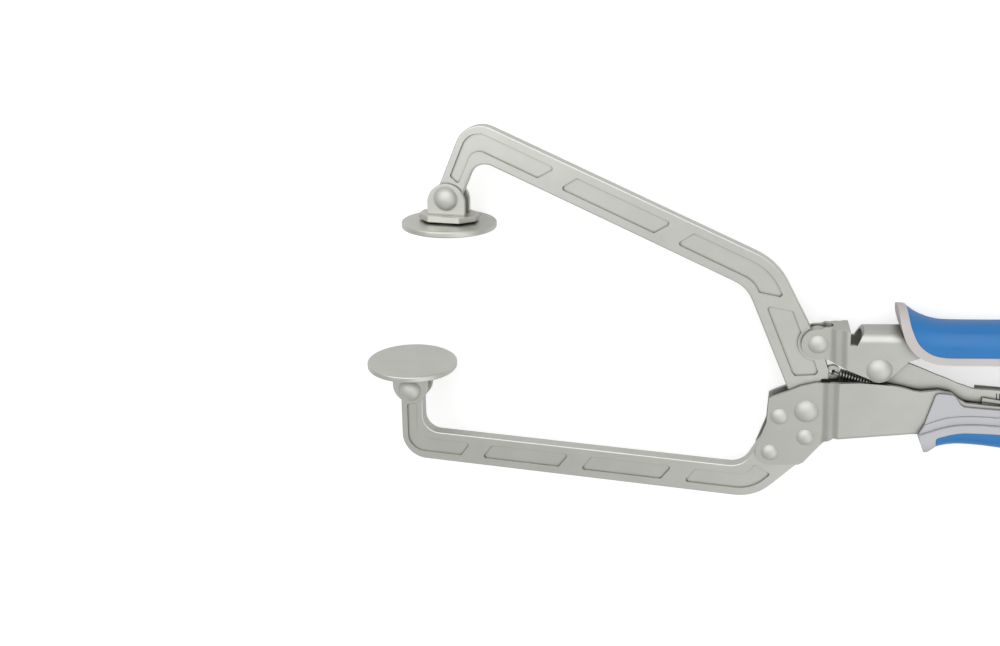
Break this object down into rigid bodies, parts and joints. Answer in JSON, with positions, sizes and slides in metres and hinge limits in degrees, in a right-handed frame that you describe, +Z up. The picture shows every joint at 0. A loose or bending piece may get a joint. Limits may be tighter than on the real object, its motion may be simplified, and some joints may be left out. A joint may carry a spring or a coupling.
{
  "type": "locking face clamp",
  "caption": "Long-reach locking clamp with two deep-throated arms, round swivel pads, an over-centre handle linkage and blue and grey moulded grips",
  "frame": {"origin": "centre of the fixed pad's contact face", "axes": "+X from the pads toward the handles, +Y from the fixed pad to the moving pad, +Z along the rivets; the clamp lies on its side with Z up"},
  "size_m": [0.4245, 0.1908, 0.05],
  "materials": {
    "pressed_steel": "satin nickel-plated folded sheet steel",
    "arm_steel": "satin nickel-plated forged steel",
    "rivet_steel": "bright plated steel",
    "spring_steel": "plain spring wire",
    "blue_plastic": "blue moulded grip, satin",
    "grey_plastic": "light grey moulded plastic"
  },
  "bodies": {
    "frame": {"fixed_handle": "pressed_steel", "fixed_jaw_arm": "arm_steel", "arm_rivet_1": "rivet_steel", "arm_rivet_2": "rivet_steel", "arm_rivet_3": "rivet_steel", "jaw_pivot_rivet": "rivet_steel", "spring_anchor_pin": "rivet_steel", "rear_plate": "pressed_steel", "fixed_grip": "grey_plastic", "fixed_grip_cover": "blue_plastic", "opening_spring": "spring_steel"},
    "fixed_pad": {"fixed_pad_clevis": "pressed_steel", "fixed_pad_disc": "pressed_steel", "fixed_pad_rivet": "rivet_steel"},
    "swing_arm": {"swing_jaw_arm": "arm_steel"},
    "swing_pad": {"swing_pad_clevis": "pressed_steel", "swing_pad_disc": "pressed_steel", "swing_pad_rivet": "rivet_steel"},
    "handle_pivot": {"handle_pivot_rivet": "rivet_steel"},
    "lever": {"lever_channel": "pressed_steel", "lever_grip": "grey_plastic", "lever_grip_cover": "blue_plastic", "link_rivet": "rivet_steel"},
    "toggle": {"toggle_link": "pressed_steel"},
    "slider": {"slider_block": "pressed_steel", "link_end_pin": "rivet_steel"},
    "screw": {"adjusting_screw": "rivet_steel", "screw_knob": "grey_plastic"},
    "nut": {"tension_nut": "pressed_steel"}
  },
  "joints": [
    {"name": "jaw_pivot", "type": "hinge", "parent": "frame", "child": "swing_arm", "pos_m": [0.2118, -0.0052, 0], "axis": [0, 0, 1], "range_deg": [-10, 14.5], "deforming": ["opening_spring"]},
    {"name": "handle_shift", "type": "slide", "parent": "frame", "child": "handle_pivot", "axis": [1, 0, 0], "range_m": [-0.00924, 0.00638]},
    {"name": "lever_hinge", "type": "hinge", "parent": "handle_pivot", "child": "lever", "pos_m": [0.2136, 0.0313, 0], "axis": [0, 0, 1], "range_deg": [0, 38]},
    {"name": "toggle_hinge", "type": "hinge", "parent": "lever", "child": "toggle", "pos_m": [0.243, 0.0218, 0], "axis": [0, 0, 1], "range_deg": [-52.44, 0]},
    {"name": "slider_hinge", "type": "hinge", "parent": "toggle", "child": "slider", "pos_m": [0.325, 0.009, 0], "axis": [0, 0, 1], "range_deg": [0, 14.44]},
    {"name": "fixed_pad_swivel", "type": "hinge", "parent": "frame", "child": "fixed_pad", "pos_m": [0, -0.0159, 0], "axis": [0, 0, 1], "range_deg": [-30, 30]},
    {"name": "swing_pad_swivel", "type": "hinge", "parent": "swing_arm", "child": "swing_pad", "pos_m": [0.023, 0.0941, 0], "axis": [0, 0, 1], "range_deg": [-30, 30]},
    {"name": "screw_turn", "type": "hinge", "parent": "frame", "child": "screw", "pos_m": [0.364, 0, 0], "axis": [1, 0, 0], "range_deg": [-720, 720]},
    {"name": "nut_slide", "type": "slide", "parent": "frame", "child": "nut", "axis": [1, 0, 0], "range_m": [-0.003, 0.003]}
  ],
  "couplings": [
    {"joint": "handle_shift", "follows": "jaw_pivot", "m_per_rad": -0.0365},
    {"joint": "toggle_hinge", "follows": "lever_hinge", "ratio": -1.38},
    {"joint": "slider_hinge", "follows": "lever_hinge", "ratio": 0.38},
    {"joint": "screw_turn", "follows": "nut_slide", "rad_per_m": 4188}
  ]
}
